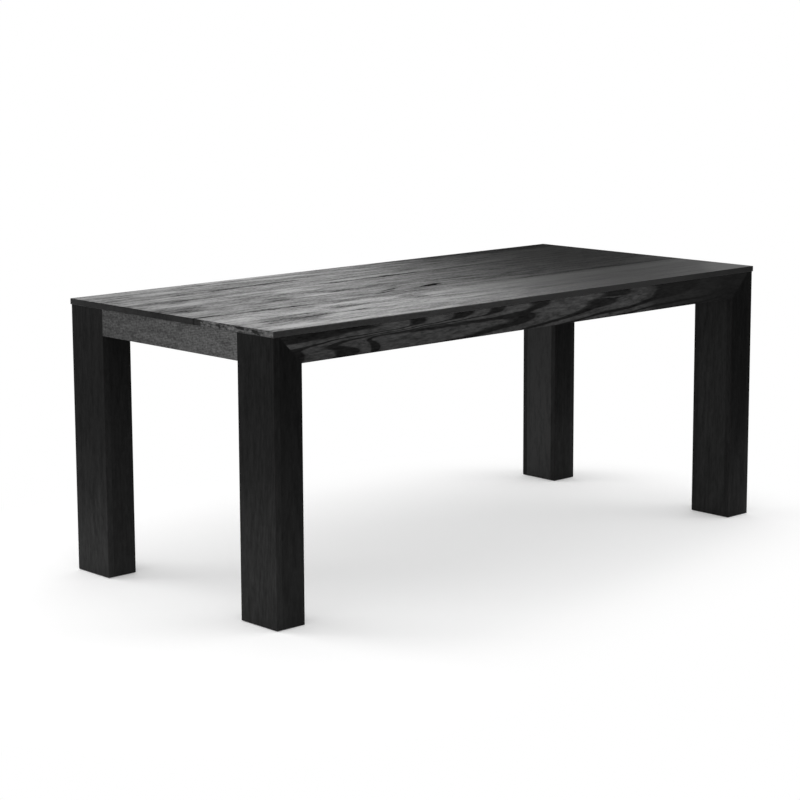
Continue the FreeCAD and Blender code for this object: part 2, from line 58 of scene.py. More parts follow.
# The top boards. Three oak boards, 1850 mm long, 283 mm wide and 16 mm thick, are glued edge to edge
# with their grain along the table. They are planed, stained black and finished in a matt lacquer,
# which lies thinner where the wood is open and where it has worn.

class Varying:
    """A value that differs from point to point of a piece. Python's operators on it add Math nodes."""

    def __init__(self, finish, node, output=0):
        self.finish = finish
        self.node = node
        self.socket = node.outputs[output]

    def output(self, name):
        return Varying(self.finish, self.node, name)

    def __add__(self, other):
        return self.finish.math("ADD", self, other)

    def __sub__(self, other):
        return self.finish.math("SUBTRACT", self, other)

    def __mul__(self, other):
        return self.finish.math("MULTIPLY", self, other)

    def __truediv__(self, other):
        return self.finish.math("DIVIDE", self, other)

    def __radd__(self, other):
        return self.finish.math("ADD", other, self)

    def __rsub__(self, other):
        return self.finish.math("SUBTRACT", other, self)

    def __rmul__(self, other):
        return self.finish.math("MULTIPLY", other, self)

    def __rtruediv__(self, other):
        return self.finish.math("DIVIDE", other, self)

    def __abs__(self):
        return self.finish.math("ABSOLUTE", self)

    def root(self):
        return self.finish.math("SQRT", self)

    def at_least(self, other):
        return self.finish.math("MAXIMUM", self, other)

    def at_most(self, other):
        return self.finish.math("MINIMUM", self, other)


class Finish:
    """A material, or the studio's own light, while it is being made up from nodes."""

    def __init__(self, name, kind=bpy.data.materials, output="ShaderNodeOutputMaterial", place="Object"):
        self.made = kind.new(name)
        self.made.use_nodes = True
        self.tree = self.made.node_tree
        self.tree.nodes.clear()
        self.end = self.tree.nodes.new(output)
        self.place = self.add("ShaderNodeTexCoord", output=place)
        axes = self.add("ShaderNodeSeparateXYZ", {}, {"Vector": self.place})
        self.x = axes.output("X")
        self.y = axes.output("Y")
        self.z = axes.output("Z")

    def add(self, kind, settings=None, sockets=None, output=0):
        node = self.tree.nodes.new(kind)
        for name, value in (settings or {}).items():
            if name == "stops":
                ramp = node.color_ramp.elements
                ramp.remove(ramp[1])
                for stop, (position, shade) in enumerate(value):
                    point = ramp.new(position) if stop else ramp[0]
                    point.position = position
                    point.color = (shade, shade, shade, 1.0)
            else:
                setattr(node, name, value)
        for name, value in (sockets or {}).items():
            if isinstance(value, Varying):
                self.tree.links.new(value.socket, node.inputs[name])
            else:
                node.inputs[name].default_value = value
        return Varying(self, node, output)

    def math(self, operation, *operands):
        return self.add("ShaderNodeMath", {"operation": operation}, dict(enumerate(operands)))

    def vector(self, x, y, z):
        return self.add("ShaderNodeCombineXYZ", {}, {"X": x, "Y": y, "Z": z})

    def grey(self, value):
        """A brightness as a neutral colour."""
        return self.vector(value, value, value)

    def ramp(self, value, stops):
        return self.add("ShaderNodeValToRGB", {"stops": stops}, {"Fac": value})

    def smooth(self, value, low, high):
        """0 up to low and 1 from high on, with an easy change between them."""
        return self.add("ShaderNodeMapRange", {"interpolation_type": "SMOOTHSTEP"},
                        {"Value": value, "From Min": low, "From Max": high})

    def noise(self, vector, detail=1.0, scale=1.0):
        """Smooth noise, from about -1 to 1."""
        made = self.add("ShaderNodeTexNoise", {}, {"Vector": vector, "Scale": scale, "Detail": detail})
        return (made - 0.5) * 3.0

    def mixed(self, amount, one, other):
        """One colour where the amount is 0, and the other where it is 1."""
        return self.add("ShaderNodeMix", {"data_type": "RGBA"}, {0: amount, 6: one, 7: other}, 2)

    def patches(self, along, across, log, marks, rough):
        """A board's marks added up. Each is an oval with a place, half length and width, turn in
        degrees and strength. Its outline is ragged, and strays about as far as rough says."""
        ragged = self.noise(self.vector(along * 22.0, across * 90.0, log), 4.0)
        place = self.vector(along + ragged * rough, across + ragged * rough * 0.35, 0.0)
        total = 0.0
        for centre, size, turn, strength in marks:
            oval = self.add("ShaderNodeMapping", {"vector_type": "TEXTURE"}, {
                "Vector": place, "Location": (*centre, 0.0),
                "Rotation": (0.0, 0.0, math.radians(turn)), "Scale": (*size, 1.0)})
            away = self.add("ShaderNodeVectorMath", {"operation": "LENGTH"}, {0: oval}, "Value")
            total = (1.0 - self.smooth(away, 0.5, 1.15)) * strength + total
        return total

    def bumped(self, height, depth):
        return self.add("ShaderNodeBump", {}, {"Height": height, "Distance": depth, "Strength": 1.0})

    def shader(self, colour, roughness, normal, **constants):
        sockets = {"Base Color": colour, "Roughness": roughness, "Normal": normal}
        sockets.update({name.replace("_", " "): value for name, value in constants.items()})
        return self.add("ShaderNodeBsdfPrincipled", {}, sockets)

    def done(self, shader):
        self.tree.links.new(shader.socket, self.end.inputs["Surface"])
        return self.made


def cover(material, *names):
    """Gives these boards this finish."""
    for name in names:
        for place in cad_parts[name].material_slots:
            place.material = material


HEART_WANDERS = 0.02
RING_WAVE = 0.22


def rings_round_heart(finish, along, across, depth, heart, pitch, log):
    """The tree's growth rings, counted out from a heart line that wanders along the board. pitch is
    one ring's width, and log a number of its own for each piece, so that no two are alike."""
    bend = finish.noise(finish.vector(along * 1.1, log, 0.0), 0.0)
    lean = finish.noise(finish.vector(along * 0.8, log, 5.0), 0.0)
    sideways = across - heart[0] + bend * HEART_WANDERS
    down = depth - heart[1] + lean * HEART_WANDERS
    radius = (sideways * sideways + down * down).root()
    wave = finish.noise(finish.vector(along * 5.0, across * 28.0 + log, depth * 28.0), 1.0)
    return radius / pitch + wave * RING_WAVE


ONE_RING = [(0.0, 0.0), (0.24, 0.02), (0.31, 0.85), (0.6, 1.0), (0.88, 0.9), (0.93, 0.3), (1.0, 0.0)]
USUAL_TONE = 0.6
PORE_DEPTH = 0.0002


def woodgrain(finish, rings, along, across, depth, log, light, dark, figure=1.0, grain=1.0, short=50.0,
              film=0.5, satin=0.1, index=1.5, gloss=0.1, marks=0.0, worn=1.0, stain=1.0):
    """Stained wood: each ring has an open, dark early part and a dense, lighter late part. Fine pores
    and streaks run along the grain through both, and the lacquer lies thinner over the open parts.

    light and dark are the two parts' brightness. figure says how far the rings show, and grain the
    streaks, with short for how soon a fleck ends. film is how much lacquer there is, and satin, index
    and gloss how it shines. marks add to the tone, and to the lacquer as far as worn says. stain is a
    factor on the whole."""
    late = finish.ramp(finish.math("FRACT", rings), ONE_RING)
    streak = finish.noise(finish.vector(along * 11.0, across * 65.0 + log, depth * 65.0), 4.0)
    fleck = finish.noise(finish.vector(along * short, across * 200.0 + log, depth * 200.0), 2.0)
    pore = finish.noise(finish.vector(along * 60.0, across * 1300.0 + log, depth * 1300.0), 1.0)
    tone = (late * figure + (1.0 - figure) * USUAL_TONE + marks * 0.5).at_least(0.0).at_most(1.2)
    mottle = (1.0 + (streak * 0.3 + fleck * 0.6 + pore * 0.3) * grain).at_least(0.15)
    shade = finish.grey((dark + (light - dark) * tone) * mottle * stain)
    cover_over_grain = (tone - USUAL_TONE) * 0.3 + (streak * 0.55 + fleck * 0.4) * grain
    lacquer = (1.0 + marks * worn + cover_over_grain) * film
    normal = finish.bumped(tone * 0.35 + (pore * 0.4 + fleck * 0.5) * grain, PORE_DEPTH)
    bare = finish.shader(shade, 0.6 + fleck * 0.05, normal, Specular_IOR_Level=0.0)
    across_grain = finish.vector(*[float(axis is across) for axis in (finish.x, finish.y, finish.z)])
    coated = finish.shader(shade, 0.5, normal, Specular_IOR_Level=satin, IOR=index,
                           Anisotropic=0.85, Tangent=across_grain,
                           Coat_Weight=gloss, Coat_Roughness=0.3, Coat_IOR=1.5)
    return finish.done(finish.add("ShaderNodeMixShader", {},
                                  {"Fac": lacquer.at_least(0.04), 1: bare, 2: coated}))


TOP_END, TOP_SIDE = cad_box[1][:2]

# How far in from the top's edges the edge face's own tone begins, and where it is whole.
EDGE_BEGINS = 0.0012
EDGE_WHOLE = 0.0004

# The front board's marks. The one at the front right corner, (0.87, -0.37), is painted sheen for a
# reflection there.
FRONT_MARKS_AND_SHEEN = [((-0.73, -0.286), (0.14, 0.052), 4.0, -0.55), ((-0.46, -0.29), (0.1, 0.01), -5.0, -0.35),
               ((-0.487, -0.213), (0.1, 0.018), 0.0, -0.45), ((-0.246, -0.196), (0.045, 0.036), 0.0, -0.35),
               ((-0.153, -0.246), (0.06, 0.01), -5.0, -0.3), ((-0.672, -0.168), (0.06, 0.012), 0.0, -0.3),
               ((-0.4, -0.16), (0.17, 0.014), 0.0, 0.4), ((-0.82, -0.385), (0.1, 0.022), 0.0, 0.6),
               ((-0.87, -0.2), (0.07, 0.018), 0.0, 0.4), ((0.87, -0.37), (0.2, 0.08), 40.0, 0.3),
               ((-0.45, -0.3), (0.6, 0.2), 0.0, 0.12), ((0.3, -0.195), (0.8, 0.045), 0.0, 0.15)]
MIDDLE_MARKS = [((-0.044, -0.06), (0.05, 0.013), 12.0, -1.6), ((-0.86, 0.035), (0.11, 0.06), 0.0, -0.4),
                ((-0.547, 0.01), (0.06, 0.04), 0.0, -0.35), ((-0.4, 0.003), (0.09, 0.012), 0.0, 0.4),
                ((-0.06, 0.0), (0.08, 0.011), 0.0, 0.3), ((-0.89, -0.115), (0.06, 0.01), 0.0, -0.6),
                ((-0.69, -0.124), (0.14, 0.01), 0.0, -0.6), ((-0.19, -0.05), (0.06, 0.008), 18.0, -0.6),
                ((-0.25, -0.085), (0.06, 0.007), 15.0, -0.5), ((0.5, -0.13), (0.5, 0.014), 0.0, -0.1),
                ((-0.787, 0.106), (0.14, 0.02), 0.0, 0.45), ((-0.385, 0.112), (0.09, 0.03), 0.0, 0.4),
                ((-0.31, 0.022), (0.08, 0.007), 0.0, -0.4)]
BACK_MARKS = [((-0.38, 0.276), (0.18, 0.014), 2.0, -0.5), ((-0.6, 0.262), (0.13, 0.02), 0.0, -0.25),
              ((-0.094, 0.17), (0.26, 0.01), 1.0, -0.5), ((-0.7, 0.166), (0.2, 0.009), 0.0, -0.3),
              ((0.15, 0.2), (0.45, 0.014), 1.0, 0.35), ((-0.72, 0.335), (0.1, 0.03), 0.0, 0.3),
              ((-0.55, 0.39), (0.08, 0.02), 0.0, -0.3), ((-0.6, 0.4), (0.5, 0.04), 0.0, 0.2),
              ((0.65, 0.4), (0.5, 0.05), 0.0, -0.35)]
END_SPOTS = [((-0.213, 0.744), (0.01, 0.004), 0.0, -2.5), ((-0.3, 0.745), (0.017, 0.005), 5.0, -3.0),
             ((-0.357, 0.742), (0.02, 0.005), 10.0, -3.0), ((-0.26, 0.741), (0.02, 0.007), 0.0, 0.8),
             ((-0.405, 0.742), (0.016, 0.008), 0.0, 1.0)]
for name, log, heart, pitch, light, dark, index, marks in (
        ("top_board_front", 3.0, (-0.31, 0.66), 0.0052, 0.04, 0.02, 1.85, FRONT_MARKS_AND_SHEEN),
        ("top_board_middle", 11.0, (0.09, 0.64), 0.0045, 0.01, 0.005, 1.56, MIDDLE_MARKS),
        ("top_board_back", 23.0, (0.33, 0.67), 0.005, 0.01, 0.005, 1.62, BACK_MARKS)):
    oak = Finish(name)
    rings = rings_round_heart(oak, oak.x, oak.y, oak.z, heart, pitch, log)
    bands = oak.noise(oak.vector(oak.x * 1.6, oak.y * 36.0 + log, log), 4.0)
    end_grain = oak.smooth(abs(oak.x), TOP_END - EDGE_BEGINS, TOP_END - EDGE_WHOLE)
    side = oak.smooth(abs(oak.y), TOP_SIDE - EDGE_BEGINS, TOP_SIDE - EDGE_WHOLE)
    plain = 1.0 - (end_grain + side) * 0.7
    film = plain * 0.6
    if name == "top_board_front":
        # Its ends took the stain unevenly, and it is plainer towards the right than the others.
        speck = oak.noise(oak.vector(log, oak.y * 75.0, oak.z * 160.0), 3.0)
        spots = oak.patches(oak.y, oak.z, log, END_SPOTS, 0.006)
        end_tone = (2.3 + spots * 1.3 + speck * 5.0).at_least(0.1).at_most(8.0)
        plain = plain * (1.0 - oak.smooth(oak.x, -0.3, 0.3) * 0.78)
        stain = 1.0 + end_grain * (end_tone - 1.0) - side * (0.27 + oak.smooth(oak.x, 0.5, 0.85) * 0.38)
    else:
        plain = plain * (1.0 - oak.smooth(oak.x, -0.1, 0.7) * 0.45)
        stain = 1.0 + end_grain * 1.1 - side * 0.4
    marks = oak.patches(oak.x, oak.y, log, marks, 0.035) + bands * plain * 0.5
    cover(woodgrain(oak, rings, oak.x, oak.y, oak.z, log, light, dark, figure=plain * 0.5,
                    grain=plain * 1.3, short=80.0, film=film, satin=1.0, index=index, gloss=0.9,
                    marks=marks, stain=stain), name)


# The tongues in the top's two glue joints. They are thin loose strips of pale oak, glued into grooves,
# and nothing of them shows.

log = 31.0
oak = Finish("top_tongues")
rings = rings_round_heart(oak, oak.x, oak.y, oak.z, (0.0, 0.7), 0.003, log)
cover(woodgrain(oak, rings, oak.x, oak.y, oak.z, log, 0.3, 0.2), "top_tongues")


# The long aprons. Each is a flat-sawn oak board, 72 mm deep and 18 mm thick, cut from near the heart,
# so that its face shows tall flames. It is mitred to the face boards of the legs at both ends.

OVERHANG = 0.0025
LEG_END = TOP_END - OVERHANG
APRON_FACE = OVERHANG - TOP_SIDE

# The front apron's rings, counted along two lines, above and below the valley between its flames.
# Each place is a share of the apron's length. The lines' and the valley's heights are in mm.
UPPER_RINGS = [(0.0, 0.0), (0.019, 0.03), (0.205, 0.3), (0.253, 1.0), (0.285, 1.3), (0.339, 2.0),
               (0.371, 2.3), (0.407, 3.0), (0.435, 3.3), (0.495, 4.0), (0.53, 4.3), (0.652, 5.0),
               (0.722, 5.3), (0.775, 6.0), (0.895, 6.3), (0.93, 7.0), (1.0, 7.2)]
LOWER_RINGS = [(0.0, 0.2), (0.038, 1.0), (0.061, 1.3), (0.112, 2.0), (0.157, 2.3), (0.176, 3.0),
               (0.192, 3.3), (0.467, 4.0), (0.502, 4.3), (0.627, 5.0), (0.7, 5.3), (0.775, 6.0),
               (0.895, 6.3), (0.93, 7.0), (1.0, 7.2)]
MOST_RINGS = 8.0
RING_DEPTH = 0.009
APRON_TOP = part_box("long_apron_front")[1].z
LEVEL = 0.7
UPPER_LINE, LOWER_LINE = 31.0, 12.0
UPPER_BULGE, LOWER_BULGE = 0.0006, 0.0009
VALLEY = [(0.0, -5.0), (0.05, -4.0), (0.16, 5.0), (0.27, 11.0), (0.5, 11.0), (1.0, 8.0)]
APRON_MARKS = [((-0.7, 0.7285), (0.17, 0.0042), 0.0, -1.2), ((-0.76, 0.7165), (0.1, 0.006), 0.0, -0.7),
               ((-0.676, 0.672), (0.045, 0.01), 0.0, -1.6), ((-0.586, 0.674), (0.014, 0.009), 0.0, -2.0),
               ((-0.32, 0.7035), (0.36, 0.006), 0.0, -1.6), ((0.3, 0.7175), (0.06, 0.0025), 0.0, 1.4),
               ((-0.627, 0.69), (0.009, 0.016), 20.0, 1.2), ((0.757, 0.709), (0.03, 0.013), 0.0, 0.8)]

log = 41.0
oak = Finish("long_apron_front")
run = (oak.x + LEG_END) / (2 * LEG_END)
upper = oak.ramp(run, [(place, rings / MOST_RINGS) for place, rings in UPPER_RINGS]) * MOST_RINGS
lower = oak.ramp(run, [(place, rings / MOST_RINGS) for place, rings in LOWER_RINGS]) * MOST_RINGS
height = (oak.z - LEVEL) * 1000.0
height = height + oak.noise(oak.vector(oak.x * 5.0, oak.y * 20.0, oak.z * 16.0), 1.0) * 3.0
height = height + oak.noise(oak.vector(oak.x * 14.0, oak.y * 40.0, oak.z * 50.0), 0.0)

# Each line's rings hold along it and bulge away from it, and the two sets meet along the valley.
above = height - (UPPER_LINE - oak.smooth(run, 0.5, 0.85) * 8.0)
below = height - (LOWER_LINE - oak.smooth(1.0 - run, 0.25, 0.9) * 38.0)
upper = upper + above * above * UPPER_BULGE
lower = lower + below * below * LOWER_BULGE
valley = oak.ramp(run, [(place, level / 100.0 + 0.5) for place, level in VALLEY]) * 100.0 - 50.0
spread = 12.0 - oak.smooth(run, 0.17, 0.27) * 3.0
rings = lower + (upper - lower) * oak.smooth(height - valley, 0.0 - spread, spread)
rings = rings + oak.noise(oak.vector(oak.x * 9.0, oak.y * 40.0, oak.z * 40.0), 1.0) * 0.08
rings = rings + (oak.y - APRON_FACE) / RING_DEPTH
marks = oak.patches(oak.x, oak.z, log, APRON_MARKS, 0.008)

# The board is duller and plainer to the right and darker in its lower half, with painted shade under the
# top.
duller = 1.0 - oak.smooth(run, 0.72, 0.78) * 0.62 - oak.smooth(run, 0.83, 0.94) * 0.2
# Painted shade: a dark band along the apron's top edge, where the top's overhang shades it.
painted_shade_under_top = 1.0 - oak.smooth(oak.z, APRON_TOP - 0.0022, APRON_TOP - 0.0005) * 0.7
lower_half = 0.8 + oak.smooth(oak.z, 0.675, 0.715) * 0.2
plainer = 1.0 - oak.smooth(run, 0.7, 0.8) * 0.5

cover(woodgrain(oak, rings, oak.x, oak.z, oak.y, log, 0.055 * duller, 0.011, grain=plainer,
                marks=marks, worn=0.0, stain=painted_shade_under_top * lower_half), "long_apron_front")

log = 47.0
oak = Finish("long_apron_back")
rings = rings_round_heart(oak, oak.x, oak.z, oak.y, (0.69, 0.34), 0.006, log)
cover(woodgrain(oak, rings, oak.x, oak.z, oak.y, log, 0.05, 0.008), "long_apron_back")


# The end aprons. Two boards of the same section, butted between the legs and flush with them. Their
# growth rings stand nearly square to the face, so that it shows fine straight streaks and no flames.

END_MARKS = [((-0.06, 0.725), (0.04, 0.009), -20.0, -0.7), ((-0.235, 0.7), (0.03, 0.006), 0.0, -0.7)]
for name, side, log in (("end_apron_left", -1, 53.0), ("end_apron_right", 1, 59.0)):
    oak = Finish(name)
    rings = rings_round_heart(oak, oak.y, oak.z, oak.x, (0.9, side * 0.8), 0.0035, log)
    marks = oak.patches(oak.y, oak.z, log, END_MARKS, 0.008)
    cover(woodgrain(oak, rings, oak.y, oak.z, oak.x, log, 0.1, 0.04, figure=0.5, short=150.0,
                    marks=marks, worn=0.0, stain=1.08 - oak.y * 0.9), name)


# The joints' loose parts: a spline across each mitre between a long apron and a leg, and a tongue in
# each butt joint of the end aprons. They are pale, close-grained beech, glued in and out of sight.

log = 61.0
beech = Finish("loose_splines")
rings = rings_round_heart(beech, beech.y, beech.x, beech.z, (0.0, 0.6), 0.003, log)
cover(woodgrain(beech, rings, beech.y, beech.x, beech.z, log, 0.4, 0.3),
      "mitre_splines", "end_apron_tongues")


# The legs. Each is a case of four oak boards, 18 mm thick, round a hollow, with a block at its head
# and its foot. The boards are glued edge to face, so that the leg looks like one thick post. The wood
# is chosen plain and straight, with its grain up the leg, and its stain is nearly black.

CORNERS = (("front_left", -1, -1), ("front_right", 1, -1), ("back_left", -1, 1), ("back_right", 1, 1))
NEXT_LOG = 4.0

log = 67.0
for corner, side_x, side_y in CORNERS:
    for piece in ("end_board", "inner_end_board", "head_block", "foot_block", "face_board",
                  "inner_side_board"):
        log += NEXT_LOG
        name = f"leg_{corner}_{piece}"
        oak = Finish(name)
        # The end boards get more lacquer than the face boards, a painted sheen that makes the end faces
        # read lighter.
        if piece in ("face_board", "inner_side_board"):
            across, depth, heart, film = oak.x, oak.y, (side_x * 0.9, side_y * 0.2), 0.4
        else:
            across, depth, heart, film = oak.y, oak.x, (side_y * 0.31, side_x * 0.75), 0.56
        if name == "leg_back_right_inner_end_board":
            # Its heavier coat is a painted sheen, which makes this face read lighter.
            film = 0.95
        rings = rings_round_heart(oak, oak.z, across, depth, heart, 0.0045, log)
        cover(woodgrain(oak, rings, oak.z, across, depth, log, 0.005, 0.004, figure=0.3, grain=0.5,
                        film=film, satin=0.45), name)


# The corner braces. Each is a sawn block, 60 mm deep and 30 mm thick, that crosses a corner of the
# frame behind the leg and draws the leg home. It is stained, and has only a thin coat of lacquer.

for corner, side_x, side_y in CORNERS:
    log += NEXT_LOG
    timber = Finish(f"corner_brace_{corner}")
    along = (timber.x - timber.y * (side_x * side_y)) * math.sqrt(0.5)
    depth = (timber.x * side_x + timber.y * side_y) * math.sqrt(0.5)
    rings = rings_round_heart(timber, along, timber.z, depth, (0.62, 0.8), 0.004, log)
    cover(woodgrain(timber, rings, along, timber.z, depth, log, 0.035, 0.018, grain=0.8, film=0.2),
          f"corner_brace_{corner}")


# The cross battens. Three boards, 70 mm wide and 22 mm thick, are screwed up against the top from
# below, across its grain, and keep it flat. Their ends are chamfered. The finish is as on the braces.

BATTENS = ("cross_batten_left", "cross_batten_middle", "cross_batten_right")
for name in BATTENS:
    log += NEXT_LOG
    timber = Finish(name)
    rings = rings_round_heart(timber, timber.y, timber.x, timber.z, (log * 0.01, 0.6), 0.005, log)
    cover(woodgrain(timber, rings, timber.y, timber.x, timber.z, log, 0.035, 0.018, grain=0.8,
                    film=0.2), name)


# The leg bolts. Two M8 socket-head bolts run through each brace into its leg, one above the other.
# They are turned from zinc-plated steel, and their hex sockets face the middle of the table.

MM = 1000.0
LEG_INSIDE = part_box("leg_back_right_inner_side_board")[0] * MM
BRACE_LOW, BRACE_HIGH = [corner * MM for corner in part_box("corner_brace_back_right")]
HALF_BRACE = 15.0
BOLT_MARGIN = 15.0
BOLT_HEIGHTS = (BRACE_LOW.z + BOLT_MARGIN, BRACE_HIGH.z - BOLT_MARGIN)
BOLT_HEAD = 8.0
HEAD_RADIUS = 6.5
BOLT_RADIUS = 4.0
BOLT_END = 63.0
WASHER_METAL = 1.6
SHARP_ANGLE = 0.6


def turned(outline, sides=24):
    """A round piece in mm, spun from its outline of (radius, height)."""
    shape = bmesh.new()
    points = [shape.verts.new((radius, 0.0, height)) for radius, height in outline]
    line = [shape.edges.new(pair) for pair in zip(points, points[1:])]
    bmesh.ops.spin(shape, geom=points + line, cent=(0, 0, 0), axis=(0, 0, 1), angle=2 * math.pi,
                   steps=sides, use_merge=True)
    bmesh.ops.remove_doubles(shape, verts=shape.verts, dist=1e-4)
    bmesh.ops.recalc_face_normals(shape, faces=shape.faces)
    return shape


def eased(shape, width, beyond):
    """Rounds a turned piece's sharp edges that lie beyond this radius."""
    sharp = [edge for edge in shape.edges if edge.calc_face_angle(0.0) > SHARP_ANGLE
             and all(corner.co.xy.length > beyond for corner in edge.verts)]
    bmesh.ops.bevel(shape, geom=sharp, offset=width, offset_type="OFFSET", segments=3, profile=0.5,
                    affect="EDGES", material=-1)
    return shape


def recessed(shape, rim, corners, depth):
    """Closes a head's crown between its rim and a driver's recess with these corners, sunk this deep."""
    mouth = shape.faces.new(corners)
    bmesh.ops.triangle_fill(shape, use_beauty=True, edges=rim + mouth.edges[:])
    bottom = bmesh.ops.extrude_discrete_faces(shape, faces=[mouth])["faces"][0]
    bmesh.ops.translate(shape, verts=bottom.verts[:], vec=(0, 0, depth))
    bmesh.ops.recalc_face_normals(shape, faces=shape.faces)
    return shape


def aimed(place, way):
    """Puts a turned piece's start at a place in mm, with its height axis this way."""
    return Matrix.Translation(place) @ Vector(way).to_track_quat("Z", "Y").to_matrix().to_4x4()


def fitted(name, node, material, shape, places):
    """Copies of a piece at all its places, brought to metres, as the object for a CAD node."""
    mesh = bpy.data.meshes.new(name)
    shape.to_mesh(mesh)
    joined = bmesh.new()
    for place in places:
        copy = mesh.copy()
        copy.transform(Matrix.Scale(1.0 / MM, 4) @ place)
        joined.from_mesh(copy)
        bpy.data.meshes.remove(copy)
    joined.to_mesh(mesh)
    mesh.shade_smooth()
    mesh.set_sharp_from_angle(angle=SHARP_ANGLE)
    mesh.materials.append(material)
    piece = bpy.data.objects.new(name, mesh)
    bpy.context.scene.collection.objects.link(piece)
    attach(piece, "root")
    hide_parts(node)


def bolt_places(distance):
    """For all eight bolts, a place so far in from the leg's inner corner, on the bolt's own line."""
    step = distance * math.sqrt(0.5)
    return [aimed((side_x * (LEG_INSIDE.x - step), side_y * (LEG_INSIDE.y - step), z),
                  (side_x, side_y, 0.0))
            for side_x in (-1, 1) for side_y in (-1, 1) for z in BOLT_HEIGHTS]


DULL = (0.5, 0.52, 0.55, 1.0)
BRIGHT = (0.64, 0.64, 0.62, 1.0)


def zinc_plate(name, tint):
    """Bright zinc on steel, cloudy with fine crystals, and lightly scuffed from handling."""
    steel = Finish(name)
    cloud = steel.noise(steel.place, 3.0, 420.0)
    scuff = steel.noise(steel.place, 2.0, 2600.0)
    shade = steel.mixed(steel.smooth(cloud, -0.8, 0.8), DULL, tint)
    return steel.done(steel.shader(shade, 0.3 + cloud * 0.05 + scuff * 0.06,
                                   steel.bumped(cloud * 0.5 + scuff, 0.00002), Metallic=1.0))


bolt = turned([(4.4, 0), (HEAD_RADIUS, 0), (HEAD_RADIUS, BOLT_HEAD), (BOLT_RADIUS, BOLT_HEAD),
               (BOLT_RADIUS, BOLT_END - 1), (3.2, BOLT_END), (0, BOLT_END)], 32)
rim = [edge for edge in bolt.edges if edge.is_boundary]
socket = bmesh.ops.create_circle(bolt, segments=6, radius=3.5)["verts"]
fitted("leg_bolt_set", "leg_bolts", zinc_plate("bolt_zinc", BRIGHT),
       eased(recessed(bolt, rim, socket, 4), 0.8, 6.0),
       bolt_places(HALF_BRACE + WASHER_METAL + BOLT_HEAD))


# The bolt washers. Each bolt has a pressed steel washer under its head, 16 mm across and 1.6 mm thick,
# which spreads the load on the brace. Its edges are rounded where the press cut it.

washer = turned([(4.5, 0), (8, 0), (8, WASHER_METAL), (4.5, WASHER_METAL), (4.5, 0)], 32)
fitted("bolt_washer_set", "bolt_washers", zinc_plate("washer_zinc", BRIGHT),
       eased(washer, 0.3, 4.0), bolt_places(HALF_BRACE + WASHER_METAL))


# The threaded inserts. A steel sleeve for each bolt is let into the leg's head block, 25 mm long, with
# its mouth countersunk so that the bolt finds it.

INSERT = 25
sleeve = turned([(4.3, 0.6), (4.9, 0), (5.6, 0), (5.95, 0.4), (5.95, INSERT), (4.3, INSERT),
                 (4.3, 0.6)], 32)
fitted("threaded_insert_set", "threaded_inserts", zinc_plate("insert_zinc", BRIGHT),
       sleeve, bolt_places(-HALF_BRACE))


# The brace screws. Four 4 x 26 mm pan-head wood screws hold each brace to its two aprons, two to each.
# They are yellow zinc on steel, with a cross recess, and sit in deep counterbores in the brace's back.

YELLOW = (0.6, 0.5, 0.3, 1.0)
HEAD_TOP = 2.4
RECESS_DEPTH = 1.4
ARM, HALF_SLOT = 1.8, 0.35
QUARTER = [(ARM, -HALF_SLOT), (ARM, HALF_SLOT), (HALF_SLOT, HALF_SLOT)]
CROSS = (QUARTER + [(-y, x) for x, y in QUARTER] + [(-x, -y) for x, y in QUARTER]
         + [(y, -x) for x, y in QUARTER])


def wood_screw(length):
    """A pan-head screw in mm. Its seat is at the start, its shank goes on from there, and its head
    stands before it."""
    shape = turned([(2.4, -HEAD_TOP), (3, -HEAD_TOP), (3.5, -2.15), (3.85, -1.4), (4, -0.4), (4, 0),
                    (2, 0), (2, length - 4), (0, length)])
    rim = [edge for edge in shape.edges if edge.is_boundary]
    cross = [shape.verts.new((x, y, -HEAD_TOP)) for x, y in CROSS]
    return recessed(shape, rim, cross, RECESS_DEPTH)


INSIDE_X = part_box("end_apron_right")[0].x * MM
INSIDE_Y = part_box("long_apron_back")[0].y * MM
SEAT_OFF_APRON = 13.0
SCREW_MARGIN = 12.0
BRACE_SCREW_HEIGHTS = (BRACE_LOW.z + SCREW_MARGIN, BRACE_HIGH.z - SCREW_MARGIN)

# Where a brace's screws to the long apron and to the end apron have their seats, and which way they go.
TO_LONG_APRON = (LEG_INSIDE.x + LEG_INSIDE.y - INSIDE_Y, INSIDE_Y - SEAT_OFF_APRON, 0, 1)
TO_END_APRON = (INSIDE_X - SEAT_OFF_APRON, LEG_INSIDE.x + LEG_INSIDE.y - INSIDE_X, 1, 0)
fitted("brace_screw_set", "brace_screws", zinc_plate("brace_screw_zinc", YELLOW),
       wood_screw(26),
       [aimed((side_x * x, side_y * y, z), (side_x * way_x, side_y * way_y, 0))
        for side_x in (-1, 1) for side_y in (-1, 1) for z in BRACE_SCREW_HEIGHTS
        for x, y, way_x, way_y in (TO_LONG_APRON, TO_END_APRON)])


# The batten screws. Six 4 x 25 mm pan-head screws go up through each batten into the top, two to a
# board. All but the middle ones stand in slotted holes, so that the boards can swell and shrink.

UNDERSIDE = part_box("top_board_middle")[0].z * MM
BOARD_WIDTH = 2 * TOP_SIDE * MM / 3
BATTEN_SCREW = 25
INTO_TOP = 11.0


def middle(name):
    """The middle of a piece, in mm."""
    low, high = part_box(name)
    return (low + high) / 2 * MM


BATTENS_ALONG = [middle(name).x for name in BATTENS]
fitted("batten_screw_set", "batten_screws", zinc_plate("batten_screw_zinc", YELLOW),
       wood_screw(BATTEN_SCREW),
       [aimed((x, (board + side / 4) * BOARD_WIDTH, UNDERSIDE + INTO_TOP - BATTEN_SCREW), (0, 0, 1))
        for x in BATTENS_ALONG for board in (-1, 0, 1) for side in (-1, 1)])


# The top clips. Ten Z-shaped clips hold the top down on the aprons and let it move. Each is a 25 mm
# wide strip of 1.6 mm steel, pressed into two bends, with a screw hole through its upper leg and its
# lower leg in a slot in the apron.

